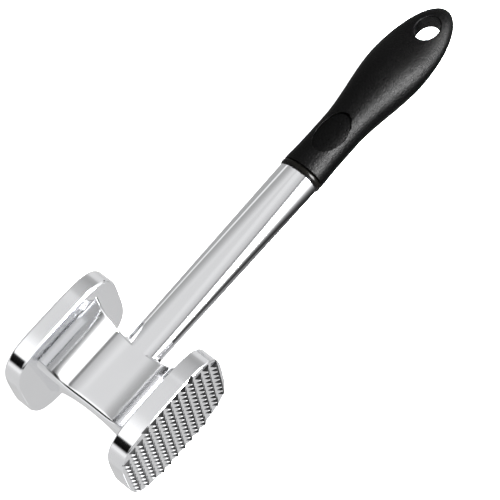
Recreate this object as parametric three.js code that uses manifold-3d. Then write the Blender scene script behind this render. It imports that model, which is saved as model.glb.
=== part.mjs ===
// Meat mallet: a cast aluminium head and shaft with a moulded black grip.
// Millimetres, +Z up. The mallet lies on its side: +X runs along the handle to the hang hole,
// +Y is the outward normal of the smooth striking face, whose centre is the origin.
import * as THREE from "three";
import { mergeVertices } from "three/addons/utils/BufferGeometryUtils.js";
import Module from "manifold-3d";

const wasm = await Module();
wasm.setup();

// Striking plates: two rounded squares, back to back
const HEAD_HEIGHT = 63; // smooth face to the flat of the toothed face
const PLATE_HALF_X = 29;
const PLATE_HALF_Z = 25.6;
const PLATE_THICK = 8;
const PLATE_POWER = 3.85; // superellipse power of the outline
const PLATE_SIDES = 72;
const SMOOTH_EDGE = 1.2; // rounding of the smooth striking face
const SHARP_EDGE = 0.4; // broken edge everywhere else
const HANDLE_Y = -HEAD_HEIGHT / 2;

// Teeth: square pyramids in rows along Z
const ROW_TEETH = [8, 10, 10, 12, 12, 12, 12, 12, 12, 12, 10, 10, 8];
const ROW_PITCH = 4.26;
const TOOTH_PITCH = 4.2;
const TOOTH_HALF_X = 1.78;
const TOOTH_HALF_Z = 1.95;
const TOOTH_HEIGHT = 1.95;
const TOOTH_ROOT = 0.3; // how far a tooth is sunk into the plate

// Waist: a web from plate to plate, thin in the middle and swelling into both plates
const WAIST_BACK_X = [-15.6, -17.4]; // side away from the handle: middle, at a plate
const WAIST_FRONT_X = [15.4, 18.5];
const WAIST_HALF_Z = [4.1, 16.6];
const WAIST_POWER_X = 2;
const WAIST_POWER_Z = 3.1; // its thickness stays thin for longer than its width
const WAIST_OVERLAP = 1;

// Shaft: a flattened bar that widens towards the grip
const SHAFT_START = 10;
const SHAFT_END = 114.6;
const SHAFT_HALF_Y = [8.25, 9.4];
const SHAFT_HALF_Z = [4.1, 7.1];
const SHAFT_POWER = 2.35;
const SHAFT_THICKENING = 1.5; // power of the growth in thickness
const ROOT_X = 15.7; // where the shaft leaves the waist
const ROOT_FILLET = 2.5;

// Tang: the end of the casting, hidden in the grip
const TANG_END = 176;
const TANG_HALF_Y = 6;
const TANG_HALF_Z = 2.4;
const TANG_NOTCHES = [132, 147, 162];
const NOTCH_LENGTH = 4;
const NOTCH_DEPTH = 1.6;
const TANG_OVERLAP = 1; // how far it reaches back into the shaft

// Grip
const GAP = 0.3;
const COLLAR_START = SHAFT_END + GAP;
const COLLAR_END = 117.2;
const COLLAR_HALF_Y = 9.95;
const COLLAR_HALF_Z = 7.55;
const COLLAR_CROWN = 0.35; // how far its middle stands above its ends
const GRIP_START = COLLAR_END + GAP;
const GRIP_END = 216.6;
const GRIP_POWER = 2.25;
const NECK_X = 142; // end of the slim front stretch
const BULGE_X = 182; // widest place, where the round tail begins
const NECK_HALF_Y = 9.45;
const FRONT_HALF_Y = 9.85;
const FRONT_FLARE_END = 130;
const BULGE_HALF_Y = 13.7;
const FRONT_HALF_Z = 7.4;
const PALM_X = 172;
const PALM_HALF_Z = 8.3;
const TAIL_X = 203;
const TAIL_HALF_Z = 5.2;
const TAIL_ROUND_START = 198;
const TAIL_ROUND_POWER = 2.6;

// Hang hole, an oval right through the tail
const HOLE_X = 202.4;
const HOLE_HALF_X = 6.8;
const HOLE_HALF_Y = 5.1;
const HOLE_SIDES = 36;

// Thumb rests, a sunk oval pad on the upper and the lower side
const THUMB_X = 137.2;
const THUMB_HALF_X = 10.6;
const THUMB_HALF_Y = 6.1;
const THUMB_SINK = 0.6;
const PAD_THICK = 1;

// Core: the hard sleeve on the tang, inside the grip
const CORE_WALL = 1.5;
const CORE_END = 186;
const CORE_SIDES = 24;
const CORE_POWER = 4;

// Fineness of the curved bodies
const OVAL_SIDES = 44;
const AXIS_RADIUS = 0.5; // inside this a bar's vertex is the centre of an end cap
const SHAFT_STATIONS = 10;
const COLLAR_STATIONS = 3;
const CORE_STATIONS = 4;
const GRIP_FRONT_STATIONS = 14;
const GRIP_TAIL_STATIONS = 14;
const FILLET_STATIONS = 4;
const ARC_STEPS = 20;

// Solids from three.js geometry, for joining and cutting
function solid(geometry) {
  const bare = geometry.clone();
  bare.deleteAttribute("normal");
  bare.deleteAttribute("uv");
  const merged = mergeVertices(bare, 1e-4);
  return new wasm.Manifold(
    new wasm.Mesh({
      numProp: 3,
      vertProperties: new Float32Array(merged.attributes.position.array),
      triVerts: new Uint32Array(merged.index.array),
    }),
  );
}

function geometryOf(manifold) {
  const mesh = manifold.getMesh();
  const geometry = new THREE.BufferGeometry();
  geometry.setAttribute("position", new THREE.BufferAttribute(mesh.vertProperties, 3));
  geometry.setIndex(new THREE.BufferAttribute(mesh.triVerts, 1));
  geometry.computeVertexNormals();
  return geometry;
}

function piece(name, manifold, material) {
  const mesh = new THREE.Mesh(geometryOf(manifold), material);
  mesh.name = name;
  return mesh;
}

// 0 at a, 1 at b, level at both ends
function ease(x, a, b) {
  return THREE.MathUtils.smoothstep(x, a, b);
}

function superellipse(halfU, halfV, power, angle) {
  const c = Math.cos(angle);
  const s = Math.sin(angle);
  return [
    halfU * Math.sign(c) * Math.abs(c) ** (2 / power),
    halfV * Math.sign(s) * Math.abs(s) ** (2 / power),
  ];
}

function plateOutline(inset) {
  const points = [];
  for (let i = 0; i < PLATE_SIDES; i++) {
    const angle = (2 * Math.PI * (i + 0.5)) / PLATE_SIDES;
    const [x, z] = superellipse(PLATE_HALF_X - inset, PLATE_HALF_Z - inset, PLATE_POWER, angle);
    points.push(new THREE.Vector2(x, z));
  }
  return new THREE.Shape(points);
}

// A plate between y = low and y = high, with a rounded edge at each face
function plate(low, high, lowEdge, highEdge) {
  const middle = (low + high) / 2;
  const half = (edge, flip) => {
    const geometry = new THREE.ExtrudeGeometry(plateOutline(edge), {
      depth: (high - low) / 2 - edge,
      bevelEnabled: true,
      bevelThickness: edge,
      bevelSize: edge,
      bevelSegments: edge > SHARP_EDGE ? 3 : 1,
    });
    geometry.rotateX(flip ? Math.PI / 2 : -Math.PI / 2);
    geometry.translate(0, middle, 0);
    return solid(geometry);
  };
  const keepAbove = slab(middle, high + 1);
  const keepBelow = slab(low - 1, middle);
  return half(highEdge, false).intersect(keepAbove).add(half(lowEdge, true).intersect(keepBelow));
}

// Everything between two heights in Y
function slab(low, high) {
  const wide = 4 * PLATE_HALF_X;
  const geometry = new THREE.BoxGeometry(wide, high - low, wide);
  geometry.translate(0, (low + high) / 2, 0);
  return solid(geometry);
}

function teeth() {
  const rows = ROW_TEETH.length;
  const tip = TOOTH_HEIGHT + TOOTH_ROOT;
  const widen = tip / TOOTH_HEIGHT;
  const pyramids = [];
  ROW_TEETH.forEach((count, row) => {
    for (let i = 0; i < count; i++) {
      const pyramid = new THREE.ConeGeometry(Math.SQRT2, tip, 4, 1);
      pyramid.rotateY(Math.PI / 4);
      pyramid.scale(TOOTH_HALF_X * widen, 1, TOOTH_HALF_Z * widen);
      pyramid.rotateX(Math.PI);
      pyramid.translate(
        (row - (rows - 1) / 2) * ROW_PITCH,
        -HEAD_HEIGHT + TOOTH_ROOT - tip / 2,
        (i - (count - 1) / 2) * TOOTH_PITCH,
      );
      pyramids.push(solid(pyramid));
    }
  });
  return wasm.Manifold.union(pyramids);
}

// Where a hollow side of the waist stands at distance t from the middle
function hollow([middle, end], power, t) {
  const reach = HEAD_HEIGHT / 2 - PLATE_THICK;
  return middle + (end - middle) * Math.min(Math.abs(t) / reach, 1) ** power;
}

// Prism along Z whose two sides, left and right, are hollow
function hollowPrism(left, right, power, depth) {
  const reach = HEAD_HEIGHT / 2 - PLATE_THICK + WAIST_OVERLAP;
  const stations = evenStations(-reach, reach, ARC_STEPS);
  const points = stations.map((t) => new THREE.Vector2(hollow(right, power, t), t));
  const back = stations.reverse();
  back.forEach((t) => points.push(new THREE.Vector2(hollow(left, power, t), t)));
  const geometry = new THREE.ExtrudeGeometry(new THREE.Shape(points), {
    depth,
    bevelEnabled: false,
  });
  geometry.translate(0, HANDLE_Y, -depth / 2);
  return geometry;
}

function waist() {
  const alongZ = hollowPrism(WAIST_BACK_X, WAIST_FRONT_X, WAIST_POWER_X, 2 * PLATE_HALF_Z);
  const mirrored = WAIST_HALF_Z.map((half) => -half);
  const alongX = hollowPrism(mirrored, WAIST_HALF_Z, WAIST_POWER_Z, 2 * PLATE_HALF_X);
  alongX.rotateY(Math.PI / 2);
  return solid(alongZ).intersect(solid(alongX));
}

// A closed bar along X with oval sections: sizes(x) gives its half-widths in Y and Z
function ovalBar(stations, sizes, power, sides) {
  const profile = [new THREE.Vector2(0, stations[0])];
  stations.forEach((x) => profile.push(new THREE.Vector2(1, x)));
  profile.push(new THREE.Vector2(0, stations[stations.length - 1]));
  const geometry = new THREE.LatheGeometry(profile, sides);
  geometry.rotateZ(-Math.PI / 2);
  const position = geometry.attributes.position;
  for (let i = 0; i < position.count; i++) {
    const x = position.getX(i);
    const y = position.getY(i);
    const z = position.getZ(i);
    if (Math.hypot(y, z) < AXIS_RADIUS) continue;
    const [halfY, halfZ] = sizes(x);
    const [u, v] = superellipse(halfY, halfZ, power, Math.atan2(z, y));
    position.setXYZ(i, x, u, v);
  }
  geometry.translate(0, HANDLE_Y, 0);
  return solid(geometry);
}

function evenStations(start, end, count) {
  return Array.from({ length: count + 1 }, (_, i) => start + ((end - start) * i) / count);
}

// How far the shaft's narrow sides flare out where it grows from the waist
function rootFlare(x) {
  const run = THREE.MathUtils.clamp(ROOT_X + ROOT_FILLET - x, 0, ROOT_FILLET);
  return ROOT_FILLET - Math.sqrt(ROOT_FILLET ** 2 - run ** 2);
}

function shaftSizes(x) {
  const t = Math.max(0, (x - SHAFT_START) / (SHAFT_END - SHAFT_START));
  return [
    SHAFT_HALF_Y[0] + (SHAFT_HALF_Y[1] - SHAFT_HALF_Y[0]) * t + rootFlare(x),
    SHAFT_HALF_Z[0] + (SHAFT_HALF_Z[1] - SHAFT_HALF_Z[0]) * t ** SHAFT_THICKENING,
  ];
}

function shaft() {
  const fillet = evenStations(ROOT_X, ROOT_X + ROOT_FILLET, FILLET_STATIONS);
  const bar = evenStations(ROOT_X + ROOT_FILLET, SHAFT_END, SHAFT_STATIONS).slice(1);
  return ovalBar([SHAFT_START, ...fillet, ...bar], shaftSizes, SHAFT_POWER, OVAL_SIDES);
}

function box(fromX, toX, halfY, halfZ) {
  const geometry = new THREE.BoxGeometry(toX - fromX, 2 * halfY, 2 * halfZ);
  geometry.translate((fromX + toX) / 2, HANDLE_Y, 0);
  return solid(geometry);
}

// Bar with notches in both edges, grown by a clearance all round
function tang(from, clearance) {
  const bar = box(from, TANG_END + clearance, TANG_HALF_Y + clearance, TANG_HALF_Z + clearance);
  const cuts = TANG_NOTCHES.flatMap((x) =>
    [-1, 1].map((side) => {
      const length = NOTCH_LENGTH - 2 * clearance;
      const depth = 2 * NOTCH_DEPTH;
      const geometry = new THREE.BoxGeometry(length, depth, 4 * TANG_HALF_Z);
      const edge = TANG_HALF_Y + clearance;
      geometry.translate(x, HANDLE_Y + side * (edge + depth / 2 - NOTCH_DEPTH), 0);
      return solid(geometry);
    }),
  );
  return bar.subtract(wasm.Manifold.union(cuts));
}

function headCasting() {
  const smooth = plate(-PLATE_THICK, 0, SHARP_EDGE, SMOOTH_EDGE);
  const toothed = plate(-HEAD_HEIGHT, -HEAD_HEIGHT + PLATE_THICK, SHARP_EDGE, SHARP_EDGE);
  const hiddenTang = tang(SHAFT_END - TANG_OVERLAP, 0);
  return wasm.Manifold.union([smooth, toothed, teeth(), waist(), shaft(), hiddenTang]);
}

function gripSizes(x) {
  const flare = (FRONT_HALF_Y - NECK_HALF_Y) * (1 - ease(x, GRIP_START, FRONT_FLARE_END));
  const swell = (BULGE_HALF_Y - NECK_HALF_Y) * ease(x, NECK_X, BULGE_X);
  const tail = Math.max(0, (x - BULGE_X) / (GRIP_END - BULGE_X));
  const halfY = (NECK_HALF_Y + flare + swell) * Math.sqrt(Math.max(0, 1 - tail * tail));
  const palm = (PALM_HALF_Z - FRONT_HALF_Z) * ease(x, NECK_X, PALM_X);
  const thin = (PALM_HALF_Z - TAIL_HALF_Z) * ease(x, PALM_X, TAIL_X);
  const end = Math.max(0, (x - TAIL_ROUND_START) / (GRIP_END - TAIL_ROUND_START));
  const round = Math.max(0, 1 - end ** TAIL_ROUND_POWER) ** (1 / TAIL_ROUND_POWER);
  return [halfY, (FRONT_HALF_Z + palm - thin) * round];
}

// Stations along the grip, closer together where the tail rounds off
function gripStations() {
  const front = evenStations(GRIP_START, BULGE_X, GRIP_FRONT_STATIONS);
  const tail = evenStations(0, Math.PI / 2, GRIP_TAIL_STATIONS).slice(1);
  return front.concat(tail.map((angle) => BULGE_X + (GRIP_END - BULGE_X) * Math.sin(angle)));
}

// The grip's outside, shrunk by an inset
function gripBody(inset) {
  const shrunk = (x) => gripSizes(x).map((half) => Math.max(half - inset, 0));
  return ovalBar(gripStations(), shrunk, GRIP_POWER, OVAL_SIDES);
}

function ovalPrism(centreX, halfX, halfY, fromZ, toZ) {
  const geometry = new THREE.CylinderGeometry(1, 1, toZ - fromZ, HOLE_SIDES);
  geometry.rotateX(Math.PI / 2);
  geometry.scale(halfX, halfY, 1);
  geometry.translate(centreX, HANDLE_Y, (fromZ + toZ) / 2);
  return solid(geometry);
}

function coreOutside(clearance) {
  const halfY = TANG_HALF_Y + CORE_WALL + GAP + clearance;
  const halfZ = TANG_HALF_Z + CORE_WALL + GAP + clearance;
  const start = clearance > 0 ? GRIP_START - 1 : GRIP_START;
  const stations = evenStations(start, CORE_END + clearance, CORE_STATIONS);
  return ovalBar(stations, () => [halfY, halfZ], CORE_POWER, CORE_SIDES);
}

// Oval column over a thumb rest, on the upper (side 1) or the lower (side -1) side
function thumbColumn(side, halfX, halfY) {
  const far = side * 2 * PALM_HALF_Z;
  return ovalPrism(THUMB_X, halfX, halfY, Math.min(0, far), Math.max(0, far));
}

function gripShell() {
  const through = 2 * PALM_HALF_Z;
  const hole = ovalPrism(HOLE_X, HOLE_HALF_X, HOLE_HALF_Y, -through, through);
  const columns = [1, -1].map((side) => thumbColumn(side, THUMB_HALF_X, THUMB_HALF_Y));
  const pockets = wasm.Manifold.union(columns).subtract(gripBody(THUMB_SINK + PAD_THICK + GAP));
  return gripBody(0).subtract(pockets).subtract(coreOutside(GAP)).subtract(hole);
}

function thumbPad(side) {
  const column = thumbColumn(side, THUMB_HALF_X - GAP, THUMB_HALF_Y - GAP);
  return gripBody(THUMB_SINK).intersect(column).subtract(gripBody(THUMB_SINK + PAD_THICK));
}

function gripCore() {
  return coreOutside(0).subtract(tang(GRIP_START - 1, GAP));
}

function frontCollar() {
  const stations = evenStations(COLLAR_START, COLLAR_END, COLLAR_STATIONS);
  const crowned = (x) => {
    const t = (x - COLLAR_START) / (COLLAR_END - COLLAR_START);
    const drop = COLLAR_CROWN * (2 * t - 1) ** 2;
    return [COLLAR_HALF_Y - drop, COLLAR_HALF_Z - drop];
  };
  const opening = box(COLLAR_START - 1, COLLAR_END + 1, TANG_HALF_Y + GAP, TANG_HALF_Z + GAP);
  return ovalBar(stations, crowned, GRIP_POWER, OVAL_SIDES).subtract(opening);
}

function material(color, roughness, metalness) {
  return new THREE.MeshStandardMaterial({ color, roughness, metalness });
}

const mallet = new THREE.Group();
mallet.add(
  piece("head_casting", headCasting(), material(0xc9cace, 0.25, 1)),
  piece("front_collar", frontCollar(), material(0x1b1a17, 0.35, 0)),
  piece("grip_core", gripCore(), material(0x2a2a2c, 0.6, 0)),
  piece("grip_shell", gripShell(), material(0x141415, 0.5, 0)),
  piece("thumb_pad_upper", thumbPad(1), material(0x101011, 0.4, 0)),
  piece("thumb_pad_lower", thumbPad(-1), material(0x101011, 0.4, 0)),
);

export default mallet;
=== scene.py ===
# Meat mallet: the polished casting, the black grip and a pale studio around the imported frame.
# Lengths are millimetres in the part's frame, and become metres when a mesh is made.
# The floor and the lamp are in metres from the start.
import math

import bpy
import numpy as np
from mathutils import Matrix, Vector


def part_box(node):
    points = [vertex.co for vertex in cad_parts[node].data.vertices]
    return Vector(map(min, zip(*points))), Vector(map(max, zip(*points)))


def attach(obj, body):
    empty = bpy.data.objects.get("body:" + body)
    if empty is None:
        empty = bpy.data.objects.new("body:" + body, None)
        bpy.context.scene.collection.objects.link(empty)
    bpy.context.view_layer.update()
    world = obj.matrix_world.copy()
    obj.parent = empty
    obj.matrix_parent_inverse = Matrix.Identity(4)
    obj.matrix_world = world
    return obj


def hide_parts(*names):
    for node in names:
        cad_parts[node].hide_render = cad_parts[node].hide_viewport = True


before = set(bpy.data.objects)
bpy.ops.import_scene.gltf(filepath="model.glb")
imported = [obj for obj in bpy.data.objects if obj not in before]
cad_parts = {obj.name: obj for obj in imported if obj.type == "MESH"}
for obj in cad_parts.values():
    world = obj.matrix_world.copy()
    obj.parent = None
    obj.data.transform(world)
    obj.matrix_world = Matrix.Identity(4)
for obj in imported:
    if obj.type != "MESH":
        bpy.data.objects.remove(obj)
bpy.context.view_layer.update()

MM = 0.001


def node_box(name):
    low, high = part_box(name)
    return np.array(low, float) / MM, np.array(high, float) / MM


HEAD_LOW, HEAD_HIGH = node_box("head_casting")
COLLAR_LOW, COLLAR_HIGH = node_box("front_collar")
GRIP_LOW, GRIP_HIGH = node_box("grip_shell")
AXIS_Y = (GRIP_LOW[1] + GRIP_HIGH[1]) / 2
GAP = 0.3  # between neighbouring pieces

# Head
HALF_X = -HEAD_LOW[0]
HALF_Z = HEAD_HIGH[2]
FACE_Y = 2 * AXIS_Y
PLATE = 8.0
OUTLINE_POWER = 3.85
OUTLINE_SIDES = 240
FACE_EDGE = 1.2
INNER_CHAMFER = (0.55, 0.95)  # inwards, and down the rim
TOOTH_CHAMFER = (0.26, 0.45)
CHAMFER_TILT = (24.0, 36.0)  # the flat broken edge is shaded slightly rounded
CREASE = 0.02
CAP_INSET = 0.3  # between an edge and the cap it belongs to
REACH = -AXIS_Y - PLATE

# Waist: how far its sides stand from the axis, in the middle and at a plate
WAIST_BACK = (15.7, 1.9)
WAIST_FRONT = (15.4, 3.1)
WAIST_TOP = (4.1, 12.5)
WAIST_TOP_POWER = 3.12
WAIST_FLARE = (0.0, 0.45, 0.5)  # extra spread at a plate: far side, handle's side, top
WAIST_FLARE_LENGTH = 3.5
WAIST_OVERLAP = 0.9  # how far it runs into a plate
ARRIS = (2.2, 1.0)  # edge radius on the far side, and on the handle's side
CROWN = (0.3, 12)  # how far the web drops at the far side, and how sharply
BARREL = 0.2  # how far the narrow side is rounded across its thickness
ROOT_FILLET = 2.4  # where the shaft meets the waist
FILLET_HEIGHT = (2.0, 3.8)  # the fillet fades out over this height
FILLET_START = (4.0, 7.5)  # and grows over this distance from the handle's axis

# Shaft
SHAFT_FROM = 8.0
SHAFT_TO = COLLAR_LOW[0] - GAP
SHAFT_EVEN_TO = 10.0  # beyond it the section grows towards the collar
SHAFT_Y = (8.25, 9.4)
SHAFT_Z = (4.1, 7.1)
SHAFT_POWER = (2.8, 2.15)
SHAFT_THICKENING = 1.5
SHAFT_EDGE = 0.3
TANG_TO = 176.0
TANG_HALF = (6.0, 2.4)

# Teeth
ROW_TEETH = (8, 10, 10, 12, 12, 12, 12, 12, 12, 12, 10, 10, 8)
ROW_PITCH = 4.26
TOOTH_PITCH = 4.2
TOOTH_HALF = (1.8, 1.97)
TOOTH_HEIGHT = 1.5
TOOTH_ROOT = 0.3
# How much a face flattens at its root and steepens at its tip, on the X and on the Z sides
TOOTH_ROUND = ((0.42, 0.14), (0.2, 0.05))

# Grip
GRIP_FROM = GRIP_LOW[0]
GRIP_TO = GRIP_HIGH[0]
GRIP_POWER = 2.25
GRIP_HALF_Y = (9.85, 9.45, 13.7)  # at the front, the neck and the bulge
NECK_X = (130.0, 142.0)
BULGE_X = 182.0
GRIP_HALF_Z = 7.4
GRIP_RISE = (0.9, 142.0, 172.0)  # change in half thickness, and the span it takes
GRIP_FALL = (3.1, 172.0, 203.0)
TAIL_ROUND = (198.0, 2.6)  # where the tail's end rounds off, and its power
GRIP_EDGE = 0.35
HOLE = (202.4, 6.8, 4.95)  # centre, and half sizes
HOLE_EDGE = 0.5

# Thumb rests
THUMB = (137.2, 10.6, 6.1)
THUMB_SINK = 0.6
POCKET_EDGE = 0.15
PAD_THICK = 1.0
PAD_GAP = 0.08
PAD_LEVEL = 6.0  # height its face is flattened towards
PAD_FLAT = 0.45  # how much it is flattened
PAD_RINGS = 16
PAD_EDGE = (0.25, 0.93, 0.07)  # drop, where it starts, and the share of the radius it takes
PAD_WALL = 0.45  # height of its side wall

# Collar
COLLAR_CROWN = 0.3
COLLAR_EDGE = 0.35
COLLAR_RINGS = 25
COLLAR_END_TILT = 0.8

CASTING_STEP = (0.5, 1.6)
GRIP_STEP = (0.55, 1.4)
SHAFT_END_STEP = 0.4
SHAFT_END_LENGTH = 1.6
GRID_MARGIN = 1.5
RELAX_ROUNDS = 6


# ---------------------------------------------------------------- meshes


class Build:
    """Collects faces with the normals they are shaded by, and makes one object of them."""

    def __init__(self):
        self.points = []
        self.faces = []
        self.normals = []
        self.slots = []

    def add(self, points, faces, normals=None, slot=0):
        """Adds a closed shell. Without normals it is a convex one with flat faces."""
        first = len(self.points)
        points = np.asarray(points, float)
        middle = points.mean(0)
        self.points.extend(points.tolist())
        for face in faces:
            face = list(face)
            a, b, c = points[face[0]], points[face[len(face) // 3]], points[face[2 * len(face) // 3]]
            flat = np.cross(b - a, c - a)
            flat /= np.linalg.norm(flat) + 1e-12
            outward = a - middle if normals is None else normals[face[0]] + normals[face[-1]]
            if flat @ outward < 0:
                face.reverse()
                flat = -flat
            self.faces.append([first + i for i in face])
            self.slots.append(slot)
            if normals is None:
                self.normals.extend([flat.tolist()] * len(face))
            else:
                self.normals.extend(normals[face].tolist())

    def add_torus(self, points, faces, normals):
        """Adds a closed shell whose faces are already wound one way."""
        volume = 0.0
        for face in faces:
            for k in range(1, len(face) - 1):
                volume += np.dot(points[face[0]], np.cross(points[face[k]], points[face[k + 1]]))
        first = len(self.points)
        self.points.extend(points.tolist())
        for face in faces:
            face = list(face) if volume > 0 else list(face)[::-1]
            self.faces.append([first + i for i in face])
            self.slots.append(0)
            self.normals.extend(normals[face].tolist())

    def object(self, name, materials):
        mesh = bpy.data.meshes.new(name)
        mesh.from_pydata((np.array(self.points) * MM).tolist(), [], self.faces)
        for material in materials:
            mesh.materials.append(material)
        mesh.polygons.foreach_set("material_index", self.slots)
        mesh.polygons.foreach_set("use_smooth", [True] * len(self.faces))
        mesh.normals_split_custom_set(self.normals)
        mesh.update()
        made = bpy.data.objects.new(name, mesh)
        bpy.context.scene.collection.objects.link(made)
        return made


def ring_faces(rings, sides, first_cap, last_cap):
    faces = []
    for r in range(rings - 1):
        for i in range(sides):
            j = (i + 1) % sides
            faces.append((r * sides + i, r * sides + j, (r + 1) * sides + j, (r + 1) * sides + i))
    if first_cap:
        faces.append(tuple(range(sides))[::-1])
    if last_cap:
        faces.append(tuple((rings - 1) * sides + i for i in range(sides)))
    return faces


def superellipse(half_u, half_v, power, sides):
    """Points and outward normals, evenly spread by angle."""
    angle = 2 * np.pi * (np.arange(sides) + 0.5) / sides
    c, s = np.cos(angle), np.sin(angle)
    u = half_u * np.sign(c) * np.abs(c) ** (2 / power)
    v = half_v * np.sign(s) * np.abs(s) ** (2 / power)
    nu = np.sign(u) * np.abs(u / half_u) ** (power - 1) / half_u
    nv = np.sign(v) * np.abs(v / half_v) ** (power - 1) / half_v
    size = np.hypot(nu, nv)
    return u, v, nu / size, nv / size


def grid_step(full, quick):
    return full


def surface_net(field, xs, ys, zs):
    """Closed quad mesh of field = 0 with its exact normals: one vertex in each grid cell it crosses."""
    grid = np.stack(np.meshgrid(xs, ys, zs, indexing="ij"), -1)
    inside = field(grid.reshape(-1, 3)).reshape(grid.shape[:3]) < 0
    corners = sum(
        inside[i : i + len(xs) - 1, j : j + len(ys) - 1, k : k + len(zs) - 1].astype(int)
        for i in (0, 1)
        for j in (0, 1)
        for k in (0, 1)
    )
    active = (corners > 0) & (corners < 8)
    index = -np.ones(active.shape, int)
    index[active] = np.arange(active.sum())
    where = np.argwhere(active)
    points = (grid[tuple(where.T)] + grid[tuple((where + 1).T)]) / 2
    quads = []
    for axis in range(3):
        step = np.zeros(3, int)
        step[axis] = 1
        low = inside[tuple(slice(0, n - s) for n, s in zip(inside.shape, step))]
        high = inside[tuple(slice(s, n) for n, s in zip(inside.shape, step))]
        edges = np.argwhere(low != high)
        u, v = [a for a in range(3) if a != axis]
        du, dv = np.eye(3, dtype=int)[u], np.eye(3, dtype=int)[v]
        ring = [edges - du - dv, edges - dv, edges, edges - du]
        quad = np.stack([index[tuple(c.T)] for c in ring], 1)
        outward = low[tuple(edges.T)] != (axis == 1)
        quad[~outward] = quad[~outward][:, ::-1]
        quads.append(quad)
    quads = np.concatenate(quads)
    points = relax(field, points, quads)
    return points, quads, gradient(field, points)[1]


def gradient(field, points, step=1e-3):
    """Value, unit slope and steepness of a field."""
    value = field(points)
    slope = np.zeros_like(points)
    for axis in range(3):
        shift = np.zeros(3)
        shift[axis] = step
        slope[:, axis] = (field(points + shift) - field(points - shift)) / (2 * step)
    size = np.linalg.norm(slope, axis=1)[:, None]
    return value, slope / np.maximum(size, 1e-9), size


def settle(field, points, reach=0.4):
    """Moves points onto field = 0, at most reach at a time."""
    for _ in range(4):
        value, normal, size = gradient(field, points)
        points = points - normal * np.clip(value[:, None] / np.maximum(size, 0.2), -reach, reach)
    return points


def relax(field, points, quads):
    """Evens out the points over the surface."""
    points = settle(field, points)
    for _ in range(RELAX_ROUNDS):
        total = np.zeros_like(points)
        count = np.zeros(len(points))
        for k in range(4):
            a, b = quads[:, k], quads[:, (k + 1) % 4]
            np.add.at(total, a, points[b])
            np.add.at(count, a, 1)
        points = settle(field, 0.5 * points + 0.5 * total / count[:, None])
    return points


def stations(*spans):
    """Grid lines over (start, end, step) spans laid end to end."""
    lines = [np.linspace(a, b, max(2, round((b - a) / s) + 1))[:-1] for a, b, s in spans]
    return np.concatenate(lines + [[spans[-1][1]]])


def smoothstep(x, a, b):
    t = np.clip((x - a) / (b - a), 0, 1)
    return t * t * (3 - 2 * t)


def rounded_max(a, b, radius):
    """Outside distance of the corner between two faces, rounded by radius."""
    a, b = a + radius, b + radius
    return np.hypot(np.maximum(a, 0), np.maximum(b, 0)) + np.minimum(np.maximum(a, b), 0) - radius


def blend_min(a, b, width):
    """Joins two bodies with a fillet of that width."""
    near = np.clip(width - np.abs(a - b), 0, None) / np.maximum(width, 1e-6)
    return np.minimum(a, b) - near * near * width / 4


# ---------------------------------------------------------------- casting

POLISHED, SATIN = 0, 1  # material slots


def waist_field(p):
    """Distance to the waist. It spreads from its thin web towards both plates."""
    t = np.abs(p[:, 1] - AXIS_Y)
    u = np.minimum(t / REACH, 1.1)
    spread = np.clip((t - REACH + WAIST_FLARE_LENGTH) / WAIST_FLARE_LENGTH, 0, 2) ** 3
    side = np.where(
        p[:, 0] < 0,
        WAIST_BACK[0] + WAIST_BACK[1] * u**2 + WAIST_FLARE[0] * spread,
        WAIST_FRONT[0] + WAIST_FRONT[1] * u**2 + WAIST_FLARE[1] * spread,
    )
    across = np.abs(p[:, 0]) / side
    top = WAIST_TOP[0] + WAIST_TOP[1] * u**WAIST_TOP_POWER + WAIST_FLARE[2] * spread
    slope = WAIST_TOP[1] * WAIST_TOP_POWER * u ** (WAIST_TOP_POWER - 1) / REACH
    crown = np.where(p[:, 0] < 0, CROWN[0] * across ** CROWN[1], 0.0)
    high = (np.abs(p[:, 2]) - top + crown) / np.hypot(1, slope)
    wide = np.abs(p[:, 0]) - side + BARREL * (p[:, 2] / top) ** 2
    body = rounded_max(high, wide, np.where(p[:, 0] < 0, *ARRIS))
    return np.maximum(body, t - REACH - WAIST_OVERLAP)


def shaft_sizes(x):
    t = np.clip((x - SHAFT_EVEN_TO) / (SHAFT_TO - SHAFT_EVEN_TO), 0, 1)
    half_y = SHAFT_Y[0] + (SHAFT_Y[1] - SHAFT_Y[0]) * t
    half_z = SHAFT_Z[0] + (SHAFT_Z[1] - SHAFT_Z[0]) * t**SHAFT_THICKENING
    power = SHAFT_POWER[0] + (SHAFT_POWER[1] - SHAFT_POWER[0]) * t
    return half_y, half_z, power


def oval_distance(y, z, half_y, half_z, power):
    """Distance to a superellipse, exact on it and close to it nearby."""
    a, b = np.abs(y) / half_y + 1e-9, np.abs(z) / half_z + 1e-9
    g = (a**power + b**power) ** (1 / power)
    scale = g ** (1 - power)
    slope = np.hypot(a ** (power - 1) / half_y, b ** (power - 1) / half_z) * scale
    return (g - 1) / slope


def shaft_field(p):
    half_y, half_z, power = shaft_sizes(p[:, 0])
    side = oval_distance(p[:, 1] - AXIS_Y, p[:, 2], half_y, half_z, power)
    ends = np.maximum(SHAFT_FROM - p[:, 0], p[:, 0] - SHAFT_TO)
    return rounded_max(side, ends, SHAFT_EDGE)


def body_field(p):
    t = np.abs(p[:, 1] - AXIS_Y)
    low = 1 - smoothstep(np.abs(p[:, 2]), *FILLET_HEIGHT)
    width = ROOT_FILLET * smoothstep(t, *FILLET_START) * low + 1e-6
    return blend_min(waist_field(p), shaft_field(p), width)


def round_edge(radius):
    """Rings of a rounded edge from the face to the rim: inset, drop below the face and tilt."""
    rings = [(radius + CAP_INSET, 0.0, 90.0)]
    for tilt in np.linspace(90, 0, 9):
        angle = math.radians(tilt)
        rings.append((radius * (1 - math.cos(angle)), radius * (1 - math.sin(angle)), tilt))
    return rings


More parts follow.
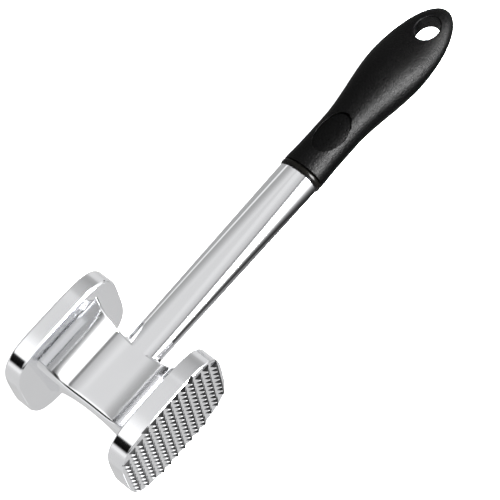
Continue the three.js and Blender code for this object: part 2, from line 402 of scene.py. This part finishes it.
def chamfer(inset, drop):
    """Rings of a broken edge, in the same form."""
    low, high = CHAMFER_TILT
    return [
        (inset + CAP_INSET, 0.0, 90.0),
        (inset + CREASE, 0.0, 90.0),
        (inset, CREASE, high),
        (inset / 2, drop / 2, (low + high) / 2),
        (0.0, drop, low),
        (0.0, drop + CREASE, 0.0),
    ]


def plate_rings(outer_y, inner_y, outer_edge, inner_edge):
    """Rings of a plate from its outer face, over the rim, to its inner face."""
    x, z, nx, nz = superellipse(HALF_X, HALF_Z, OUTLINE_POWER, OUTLINE_SIDES)
    outward = math.copysign(1, outer_y - inner_y)
    points, normals = [], []
    sides = [(outer_y, outward, ring) for ring in outer_edge]
    sides += [(inner_y, -outward, ring) for ring in reversed(inner_edge)]
    for level, way, (inset, drop, tilt) in sides:
        side, face = math.cos(math.radians(tilt)), way * math.sin(math.radians(tilt))
        y = np.full_like(x, level - way * drop)
        points.append(np.stack([x - nx * inset, y, z - nz * inset], 1))
        normals.append(np.stack([nx * side, np.full_like(x, face), nz * side], 1))
    faces = ring_faces(len(points), OUTLINE_SIDES, True, True)
    return np.concatenate(points), faces, np.concatenate(normals)


def tooth(x, z):
    """A pyramid with flat faces. Their normals shade them hollow, which the mesh is not."""
    half_x, half_z = TOOTH_HALF
    grow = 1 + TOOTH_ROOT / TOOTH_HEIGHT
    base = FACE_Y + TOOTH_ROOT
    corners = [(-1, -1), (1, -1), (1, 1), (-1, 1)]
    foot = [(x + half_x * grow * i, base, z + half_z * grow * j) for i, j in corners]
    tip = (x, FACE_Y - TOOTH_HEIGHT, z)
    points, faces, normals = list(foot), [(0, 1, 2, 3)], [(0, 1, 0)] * 4
    for k in range(4):
        i, j = np.sum([corners[k], corners[(k + 1) % 4]], 0) / 2
        flat = np.array([i * TOOTH_HEIGHT, -(half_x if i else half_z), j * TOOTH_HEIGHT])
        flat /= np.linalg.norm(flat)
        root, peak = TOOTH_ROUND[0 if i else 1]
        low = flat + np.array([0, -root, 0])
        high = flat + np.array([0, peak, 0])
        faces.append((len(points), len(points) + 1, len(points) + 2))
        points += [foot[k], foot[(k + 1) % 4], tip]
        normals += [low / np.linalg.norm(low)] * 2 + [high / np.linalg.norm(high)]
    return points, faces, np.array(normals, float)


def box_faces(low, high):
    xs, ys, zs = zip(low, high)
    points = [(x, y, z) for x in xs for y in ys for z in zs]
    faces = [(0, 1, 3, 2), (4, 6, 7, 5), (0, 4, 5, 1), (2, 3, 7, 6), (0, 2, 6, 4), (1, 5, 7, 3)]
    return points, faces


def add_body(build):
    """The waist and the shaft, as one surface."""
    step = grid_step(*CASTING_STEP)
    near_end = SHAFT_TO - SHAFT_END_LENGTH
    xs = stations(
        (-20, 24, step), (24, near_end, 2 * step), (near_end, SHAFT_TO + 0.8, SHAFT_END_STEP)
    )
    ys = stations((AXIS_Y - REACH - 2, AXIS_Y + REACH + 2, step))
    zs = stations((-21, 21, step))
    points, quads, normals = surface_net(body_field, xs, ys, zs)
    build.add(points, quads.tolist(), normals, POLISHED)


def add_plate(build, outer, inner, outer_edge, inner_edge, outer_slot):
    points, faces, normals = plate_rings(outer, inner, outer_edge, inner_edge)
    cap = (len(points) // OUTLINE_SIDES - 1) * OUTLINE_SIDES
    build.add(points, faces[:cap] + faces[cap + 1 :], normals, POLISHED)
    build.add(points, faces[cap : cap + 1], normals, outer_slot)


def add_teeth(build):
    for row, count in enumerate(ROW_TEETH):
        x = (row - (len(ROW_TEETH) - 1) / 2) * ROW_PITCH
        for i in range(count):
            points, faces, normals = tooth(x, (i - (count - 1) / 2) * TOOTH_PITCH)
            build.add(points, faces, normals, POLISHED)


def add_tang(build):
    half_y, half_z = TANG_HALF
    low = (SHAFT_TO - 1, AXIS_Y - half_y, -half_z)
    points, faces = box_faces(low, (TANG_TO, AXIS_Y + half_y, half_z))
    build.add(points, faces, None, SATIN)


def casting(polished, satin):
    build = Build()
    add_body(build)
    broken = chamfer(*TOOTH_CHAMFER)
    add_plate(build, 0.0, -PLATE, round_edge(FACE_EDGE), chamfer(*INNER_CHAMFER), SATIN)
    add_plate(build, FACE_Y, FACE_Y + PLATE, broken, broken, POLISHED)
    add_teeth(build)
    add_tang(build)
    return build.object("casting", [polished, satin])


# ---------------------------------------------------------------- grip


def grip_sizes(x):
    """Half width and half thickness along the grip."""
    front, neck, bulge = GRIP_HALF_Y
    half_y = neck + (front - neck) * (1 - smoothstep(x, GRIP_FROM, NECK_X[0]))
    half_y = half_y + (bulge - neck) * smoothstep(x, NECK_X[1], BULGE_X)
    tail = np.clip((x - BULGE_X) / (GRIP_TO - BULGE_X), 0, 1)
    half_y = half_y * np.sqrt(1 - tail**2)
    rise, fall = (v * smoothstep(x, a, b) for v, a, b in (GRIP_RISE, GRIP_FALL))
    start, power = TAIL_ROUND
    end = np.clip((x - start) / (GRIP_TO - start), 0, 1)
    return half_y, (GRIP_HALF_Z + rise - fall) * (1 - end**power) ** (1 / power)


def grip_body(p):
    half_y, half_z = grip_sizes(np.clip(p[:, 0], GRIP_FROM, GRIP_TO - 1e-3))
    return oval_distance(p[:, 1] - AXIS_Y, p[:, 2], half_y, half_z, GRIP_POWER)


def oval_column(p, oval):
    centre, half_x, half_y = oval
    return oval_distance(p[:, 0] - centre, p[:, 1] - AXIS_Y, half_x, half_y, 2.0)


def grip_field(p):
    """The grip with its hang hole and the pockets of the thumb rests."""
    body = rounded_max(grip_body(p), GRIP_FROM - p[:, 0], GRIP_EDGE)
    body = np.maximum(body, p[:, 0] - GRIP_TO)
    body = rounded_max(body, -oval_column(p, HOLE), HOLE_EDGE)
    pocket = np.maximum(oval_column(p, THUMB), -(grip_body(p) + THUMB_SINK + PAD_THICK + GAP))
    return rounded_max(body, -pocket, POCKET_EDGE)


def grip(material):
    build = Build()
    step = grid_step(*GRIP_STEP)
    xs = stations((GRIP_FROM - GRID_MARGIN, GRIP_TO + GRID_MARGIN, step))
    ys = stations((GRIP_LOW[1] - GRID_MARGIN, GRIP_HIGH[1] + GRID_MARGIN, step))
    zs = stations((-10, 10, step))
    points, quads, normals = surface_net(grip_field, xs, ys, zs)
    build.add(points, quads.tolist(), normals, 0)
    return build.object("grip", [material])


def surface_height(x, y, drop):
    """Height of the grip's upper surface over (x, y), lowered by drop."""
    half_y, half_z = grip_sizes(x)
    q = np.clip(np.abs(y - AXIS_Y) / half_y, 0, 0.999)
    return half_z * (1 - q**GRIP_POWER) ** (1 / GRIP_POWER) - drop


def pad_height(x, y, drop):
    """Height of a thumb pad's face, flatter than the grip around it."""
    return (1 - PAD_FLAT) * surface_height(x, y, THUMB_SINK) + PAD_FLAT * PAD_LEVEL - drop


def thumb_pad(name, side, material):
    centre, half_x, half_y = THUMB
    sides = 96
    u, v, nu, nv = superellipse(half_x - PAD_GAP, half_y - PAD_GAP, 2.0, sides)
    rings, normals = [], []
    drop, start, share = PAD_EDGE
    for r in np.linspace(0.02, 1, PAD_RINGS):
        edge = drop * max(0.0, (r - start) / share) ** 2
        x, y = centre + u * r, AXIS_Y + v * r
        rings.append(np.stack([x, y, pad_height(x, y, edge)], 1))
    x, y = centre + u, AXIS_Y + v
    rings.append(np.stack([x, y, pad_height(x, y, PAD_WALL)], 1))
    rings.append(np.stack([x, y, surface_height(x, y, THUMB_SINK + PAD_THICK)], 1))
    for k, ring in enumerate(rings):
        if k < PAD_RINGS:
            normals.append(pad_normals(ring))
        else:
            normals.append(np.stack([nu, nv, 0 * nu], 1))
    points = np.concatenate(rings)
    normals = np.concatenate(normals)
    points[:, 2] *= side
    normals[:, 2] *= side
    faces = ring_faces(len(rings), sides, True, True)
    build = Build()
    build.add(points, faces, normals, 0)
    return build.object(name, [material])


def pad_normals(ring):
    step = 0.01
    x, y = ring[:, 0], ring[:, 1]
    dx = (pad_height(x + step, y, 0) - pad_height(x - step, y, 0)) / (2 * step)
    dy = (pad_height(x, y + step, 0) - pad_height(x, y - step, 0)) / (2 * step)
    normal = np.stack([-dx, -dy, np.ones_like(dx)], 1)
    return normal / np.linalg.norm(normal, axis=1)[:, None]


def collar(material):
    """A crowned ring with rounded ends, over the rectangular tang."""
    sides = 160
    half_y = (COLLAR_HIGH[1] - COLLAR_LOW[1]) / 2
    middle = (COLLAR_LOW[0] + COLLAR_HIGH[0]) / 2
    half = (COLLAR_HIGH[0] - COLLAR_LOW[0]) / 2
    rings, normals = [], []

    def ring(along, drop, tilt):
        y, z, ny, nz = superellipse(half_y - drop, COLLAR_HIGH[2] - drop, GRIP_POWER, sides)
        side = math.cos(tilt)
        rings.append(np.stack([np.full_like(y, middle + along), AXIS_Y + y, z], 1))
        normals.append(np.stack([np.full_like(y, math.sin(tilt)), ny * side, nz * side], 1))

    for k in np.linspace(-1, 1, COLLAR_RINGS):
        crown = COLLAR_CROWN * k * k
        edge = max(0.0, abs(k) - 1 + COLLAR_EDGE / half) * half / COLLAR_EDGE
        drop = crown + COLLAR_EDGE * (1 - math.sqrt(1 - min(edge, 1.0) ** 2))
        tilt = math.atan(2 * COLLAR_CROWN * abs(k) / half)
        tilt += math.asin(min(edge, 1.0)) * COLLAR_END_TILT
        ring(half * k, drop, math.copysign(min(tilt, math.pi / 2), k))
    angle = 2 * np.pi * (np.arange(sides) + 0.5) / sides
    c, s = np.cos(angle), np.sin(angle)
    reach = np.minimum((TANG_HALF[0] + GAP) / np.abs(c), (TANG_HALF[1] + GAP) / np.abs(s))
    for along in (half, -half):
        rings.append(np.stack([np.full_like(c, middle + along), AXIS_Y + c * reach, s * reach], 1))
        normals.append(np.stack([0 * c, -c, -s], 1))
    faces = ring_faces(len(rings), sides, False, False)
    last = (len(rings) - 1) * sides
    faces += [(last + i, last + (i + 1) % sides, (i + 1) % sides, i) for i in range(sides)]
    build = Build()
    build.add_torus(np.concatenate(rings), faces, np.concatenate(normals))
    return build.object("collar", [material])


# ---------------------------------------------------------------- materials


def new_material(name):
    material = bpy.data.materials.new(name)
    material.use_nodes = True
    tree = material.node_tree
    return material, tree, tree.nodes["Principled BSDF"]


def position(tree, scale):
    """Object-space position in millimetres, stretched by scale."""
    coords = tree.nodes.new("ShaderNodeTexCoord")
    mapping = tree.nodes.new("ShaderNodeMapping")
    mapping.inputs["Scale"].default_value = [s / MM for s in scale]
    tree.links.new(coords.outputs["Object"], mapping.inputs["Vector"])
    return mapping.outputs["Vector"]


def noise(tree, vector, scale, detail=3.0, roughness=0.55):
    node = tree.nodes.new("ShaderNodeTexNoise")
    node.inputs["Scale"].default_value = scale
    node.inputs["Detail"].default_value = detail
    node.inputs["Roughness"].default_value = roughness
    tree.links.new(vector, node.inputs["Vector"])
    return node.outputs["Fac"]


def map_range(tree, value, from_low, from_high, low, high):
    node = tree.nodes.new("ShaderNodeMapRange")
    node.inputs["From Min"].default_value = from_low
    node.inputs["From Max"].default_value = from_high
    node.inputs["To Min"].default_value = low
    node.inputs["To Max"].default_value = high
    tree.links.new(value, node.inputs["Value"])
    return node.outputs["Result"]


def bump(tree, shader, height, strength, distance, below=None):
    node = tree.nodes.new("ShaderNodeBump")
    node.inputs["Strength"].default_value = strength
    node.inputs["Distance"].default_value = distance * MM
    tree.links.new(height, node.inputs["Height"])
    if below is not None:
        tree.links.new(below, node.inputs["Normal"])
    tree.links.new(node.outputs["Normal"], shader.inputs["Normal"])
    return node.outputs["Normal"]


def mixed_colour(tree, shader, factor, one, two):
    node = tree.nodes.new("ShaderNodeMix")
    node.data_type = "RGBA"
    node.inputs[6].default_value = (*one, 1)
    node.inputs[7].default_value = (*two, 1)
    tree.links.new(factor, node.inputs[0])
    tree.links.new(node.outputs[2], shader.inputs["Base Color"])


def metal(name, roughness, brush, grain):
    """Aluminium: cloudy tone, roughness that wanders, a directional polish and a fine grain."""
    material, tree, shader = new_material(name)
    shader.inputs["Metallic"].default_value = 1.0
    clouds = noise(tree, position(tree, (1, 1, 1)), 0.05, 2)
    mixed_colour(tree, shader, clouds, (0.865, 0.87, 0.885), (0.895, 0.9, 0.915))
    scratches = noise(tree, position(tree, brush), 1.0, 4, 0.7)
    tree.links.new(
        map_range(tree, scratches, 0.3, 0.7, roughness * 0.85, roughness * 1.2),
        shader.inputs["Roughness"],
    )
    fine = bump(tree, shader, scratches, 0.12, 0.006 * grain)
    bump(tree, shader, noise(tree, position(tree, (1, 1, 1)), 0.12, 1), 0.2, 0.04, fine)
    return material


def plastic(name, base, roughness, grain, depth, specular=0.5):
    material, tree, shader = new_material(name)
    shader.inputs["Specular IOR Level"].default_value = specular
    tone = noise(tree, position(tree, (1, 1, 1)), 0.08, 2)
    mixed_colour(tree, shader, tone, base, [c * 1.25 for c in base])
    speckle = noise(tree, position(tree, (1, 1, 1)), grain, 2, 0.6)
    tree.links.new(
        map_range(tree, speckle, 0.3, 0.7, roughness * 0.7, roughness * 1.35),
        shader.inputs["Roughness"],
    )
    bump(tree, shader, speckle, 0.8, depth)
    return material


# ---------------------------------------------------------------- studio

# Grey level of the surroundings against the angle from overhead, in degrees: towards -Y for
# SWEEP_Y and -X for SWEEP_X where it is positive. The levels were fitted, stop by stop, to how
# bright the photograph shows the metal that reflects that direction.
SWEEP_Y = (
    (-180, 0.6),
    (-152, 0.54),
    (-131, 0.47),
    (-111, 0.42),
    (-91, 0.45),
    (-74, 0.41),
    (-70, 1.0),
    (-63, 1.0),
    (-60.5, 0.42),
    (-53, 0.41),
    (-45, 0.47),
    (-37, 0.575),
    (-29, 0.74),
    (-20, 0.84),
    (-9, 0.83),
    (0, 0.69),
    (12, 0.53),
    (15.5, 0.25),
    (20.5, 0.12),
    (23, 1.25),
    (63, 1.25),
    (69, 0.85),
    (73, 0.5),
    (77, 0.34),
    (82, 0.2),
    (90, 0.1),
    (102, 0.02),
    (112, 0.03),
    (130, 0.18),
    (147, 0.26),
    (165, 0.35),
    (180, 0.62),
)
SWEEP_X = (
    (-180, 0.66),
    (-165, 0.85),
    (-154, 1.02),
    (-143, 0.82),
    (-123, 0.63),
    (-114, 0.69),
    (-94, 0.76),
    (-83, 0.76),
    (-76, 0.7),
    (-68, 0.46),
    (-58, 0.41),
    (-53, 0.41),
    (-33, 0.53),
    (-23, 0.58),
    (-13, 0.74),
    (-7, 0.79),
    (-1, 1),
    (6, 1.2),
    (33, 1.2),
    (36, 0.3),
    (38, 0.01),
    (62, 0.0),
    (66, 0.3),
    (70, 0.75),
    (74, 0.95),
    (82, 1),
    (88, 0.82),
    (96, 0.72),
    (110, 0.69),
    (150, 0.69),
    (161, 0.6),
    (180, 0.62),
)
FAN = (40.0, 0.25, 6.0)  # beyond this angle towards -Y the levels fan out with X: centre and rate
FAN_REACH = (-0.3, 0.07)  # how far from its centre the fan goes on
CARD = ((-0.325, -0.115, -0.935), 7.2, 8.3, 1.3)  # a white card below: direction, edge angles, level
MIRROR_UP = (0.281, 0.333)  # direction, as X and Y, about which the two sweeps share the sky
SHARE = (0.4, 0.6)  # X's share of the offset over which one sweep gives way to the other


def math_node(tree, operation, a, b=None):
    node = tree.nodes.new("ShaderNodeMath")
    node.operation = operation
    for socket, value in zip(node.inputs, (a, b)):
        if value is None:
            continue
        if isinstance(value, (int, float)):
            socket.default_value = value
        else:
            tree.links.new(value, socket)
    return node.outputs[0]


def fanned(tree, angle, x):
    """The angle, stretched beyond FAN's by a factor that falls as X grows."""
    start, centre, rate = FAN
    start = math.radians(start)
    low, high = FAN_REACH
    factor = map_range(tree, x, centre + low, centre + high, 1 - low * rate, 1 - high * rate)
    over = math_node(tree, "MAXIMUM", math_node(tree, "SUBTRACT", angle, start), 0.0)
    under = math_node(tree, "MINIMUM", angle, start)
    return math_node(tree, "ADD", under, math_node(tree, "MULTIPLY", over, factor))


def sweep(tree, side, up, levels, fan=None):
    """Grey level by the angle atan2(-side, up)."""
    angle = math_node(tree, "ARCTAN2", math_node(tree, "MULTIPLY", side, -1.0), up)
    if fan is not None:
        angle = fanned(tree, angle, fan)
    place = map_range(tree, angle, -math.pi, math.pi, 0, 1)
    ramp = tree.nodes.new("ShaderNodeValToRGB")
    ramp.color_ramp.interpolation = "LINEAR"
    stops = ramp.color_ramp.elements
    while len(stops) > 1:
        stops.remove(stops[-1])
    stops[0].position = 0
    for degrees, level in levels:
        stop = stops[0] if degrees == -180 else stops.new((degrees + 180) / 360)
        stop.color = (level, level, level, 1)
    tree.links.new(place, ramp.inputs["Fac"])
    return ramp.outputs["Color"]


def grey_sky(tree, direction):
    """The two sweeps, each holding where the direction leans its way."""
    x, y, z = direction
    along_y = sweep(tree, y, z, SWEEP_Y, x)
    along_x = sweep(tree, x, z, SWEEP_X)
    off_x = math_node(tree, "ABSOLUTE", math_node(tree, "SUBTRACT", x, MIRROR_UP[0]))
    off_y = math_node(tree, "ABSOLUTE", math_node(tree, "SUBTRACT", y, MIRROR_UP[1]))
    off = math_node(tree, "ADD", math_node(tree, "ADD", off_x, off_y), 1e-4)
    share = math_node(tree, "DIVIDE", off_x, off)
    mix = tree.nodes.new("ShaderNodeMix")
    mix.data_type = "RGBA"
    tree.links.new(map_range(tree, share, *SHARE, 0, 1), mix.inputs[0])
    tree.links.new(along_y, mix.inputs[6])
    tree.links.new(along_x, mix.inputs[7])
    return mix.outputs[2]


def with_card(tree, direction, sky):
    toward, inner, outer, level = CARD
    size = math.hypot(*toward)
    facing = [math_node(tree, "MULTIPLY", v, c / size) for v, c in zip(direction, toward)]
    facing = math_node(tree, "ADD", math_node(tree, "ADD", facing[0], facing[1]), facing[2])
    inner, outer = math.cos(math.radians(inner)), math.cos(math.radians(outer))
    card = map_range(tree, facing, outer, inner, 0, level)
    add = tree.nodes.new("ShaderNodeMix")
    add.data_type = "RGBA"
    add.blend_type = "ADD"
    add.inputs[0].default_value = 1.0
    tree.links.new(sky, add.inputs[6])
    tree.links.new(card, add.inputs[7])
    return add.outputs[2]


def studio():
    """Surroundings for reflections and light, with plain white straight behind."""
    world = bpy.data.worlds.new("studio")
    bpy.context.scene.world = world
    world.use_nodes = True
    tree = world.node_tree
    background = tree.nodes["Background"]
    coords = tree.nodes.new("ShaderNodeTexCoord")
    split = tree.nodes.new("ShaderNodeSeparateXYZ")
    tree.links.new(coords.outputs["Generated"], split.inputs[0])
    direction = tuple(split.outputs)
    sky = with_card(tree, direction, grey_sky(tree, direction))
    tree.links.new(sky, background.inputs["Color"])
    plain = tree.nodes.new("ShaderNodeBackground")
    plain.inputs["Color"].default_value = (1, 1, 1, 1)
    ray = tree.nodes.new("ShaderNodeLightPath")
    choose = tree.nodes.new("ShaderNodeMixShader")
    tree.links.new(ray.outputs["Is Camera Ray"], choose.inputs[0])
    tree.links.new(background.outputs[0], choose.inputs[1])
    tree.links.new(plain.outputs[0], choose.inputs[2])
    tree.links.new(choose.outputs[0], tree.nodes["World Output"].inputs["Surface"])


FLOOR_HALF = 4.0
FLOOR_STEPS = 8
FLOOR_RIPPLE = 0.00002
FLOOR_GAP = 0.0002  # below the lowest point of the head


def floor_mesh():
    mesh = bpy.data.meshes.new("floor")
    line = np.linspace(-FLOOR_HALF, FLOOR_HALF, FLOOR_STEPS + 1)
    points = [(x, y, FLOOR_RIPPLE * math.cos(3 * x + 2 * y)) for x in line for y in line]
    across = FLOOR_STEPS + 1
    corners = (i * across + j for i in range(FLOOR_STEPS) for j in range(FLOOR_STEPS))
    faces = [(k, k + across, k + across + 1, k + 1) for k in corners]
    mesh.from_pydata(points, [], faces)
    return mesh


def pale_floor(height):
    """White paper that lights up on its own, and that polished metal doesn't mirror."""
    mesh = floor_mesh()
    material, tree, shader = new_material("floor_paper")
    tone = noise(tree, position(tree, (1, 1, 1)), 0.02, 2)
    mixed_colour(tree, shader, tone, (0.8, 0.8, 0.8), (0.82, 0.82, 0.82))
    shader.inputs["Roughness"].default_value = 0.9
    shader.inputs["Emission Color"].default_value = (1, 1, 1, 1)
    shader.inputs["Emission Strength"].default_value = 1.0
    mesh.materials.append(material)
    floor = bpy.data.objects.new("floor", mesh)
    floor.location.z = height * MM - FLOOR_GAP
    floor.visible_glossy = False
    bpy.context.scene.collection.objects.link(floor)


def lamp(name, energy, size, place, target):
    data = bpy.data.lights.new(name, "AREA")
    data.energy = energy
    data.shape = "RECTANGLE"
    data.size, data.size_y = size
    made = bpy.data.objects.new(name, data)
    made.location = place
    made.rotation_euler = (Vector(target) - Vector(place)).to_track_quat("-Z", "Y").to_euler()
    bpy.context.scene.collection.objects.link(made)


# Camera: degrees, and millimetres
AZIMUTH = -40.17
ELEVATION = 64.22
ROLL = -10.99
AIM = (76.82, -36.87, 0.0)
DISTANCE = 717.0
LENS = 126.27
SENSOR = 36.0


def camera():
    a, e, roll = (math.radians(v) for v in (AZIMUTH, ELEVATION, ROLL))
    back = Vector((math.sin(a) * math.cos(e), -math.cos(a) * math.cos(e), math.sin(e)))
    level = Vector((0, 0, 1)).cross(back).normalized()
    up = back.cross(level)
    right = level * math.cos(roll) + up * math.sin(roll)
    top = back.cross(right)
    data = bpy.data.cameras.new("camera")
    data.lens = LENS
    data.sensor_width = SENSOR
    data.clip_start = 0.01
    made = bpy.data.objects.new("camera", data)
    place = (Vector(AIM) + back * DISTANCE) * MM
    turn = Matrix((right, top, back)).transposed().to_4x4()
    made.matrix_world = Matrix.Translation(place) @ turn
    bpy.context.scene.collection.objects.link(made)
    bpy.context.scene.camera = made


# ---------------------------------------------------------------- scene

camera()
studio()
bpy.context.scene.view_settings.view_transform = "Standard"
pale_floor(HEAD_LOW[2])
lamp("softbox", energy=150.0, size=(0.7, 0.66), place=(0.6, -0.78, 0.84), target=(0.16, -0.03, 0))

polished = metal("aluminium_polished", 0.085, (0.6, 6, 6), 1.0)
satin = metal("aluminium_satin", 0.3, (0.5, 8, 8), 2.0)
grip_plastic = plastic("grip_plastic", (0.0002, 0.0002, 0.00021), 0.36, 1.5, 0.3, 0.065)
pad_plastic = plastic("pad_plastic", (0.0002, 0.0002, 0.00021), 0.34, 1.5, 0.15, 0.05)
collar_plastic = plastic("collar_plastic", (0.001, 0.0009, 0.0007), 0.25, 0.8, 0.02, 0.1)
core_plastic = plastic("core_plastic", (0.03, 0.03, 0.032), 0.5, 1.0, 0.03)

PIECES = (
    (casting(polished, satin), "head_casting", "aluminium"),
    (collar(collar_plastic), "front_collar", "collar_plastic"),
    (grip(grip_plastic), "grip_shell", "grip_plastic"),
    (thumb_pad("pad_upper", 1, pad_plastic), "thumb_pad_upper", "pad_plastic"),
    (thumb_pad("pad_lower", -1, pad_plastic), "thumb_pad_lower", "pad_plastic"),
)
for piece, node, slot in PIECES:
    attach(piece, "root")
    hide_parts(node)

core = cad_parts["grip_core"]
core.data.materials.clear()
core.data.materials.append(core_plastic)

bpy.context.view_layer.update()
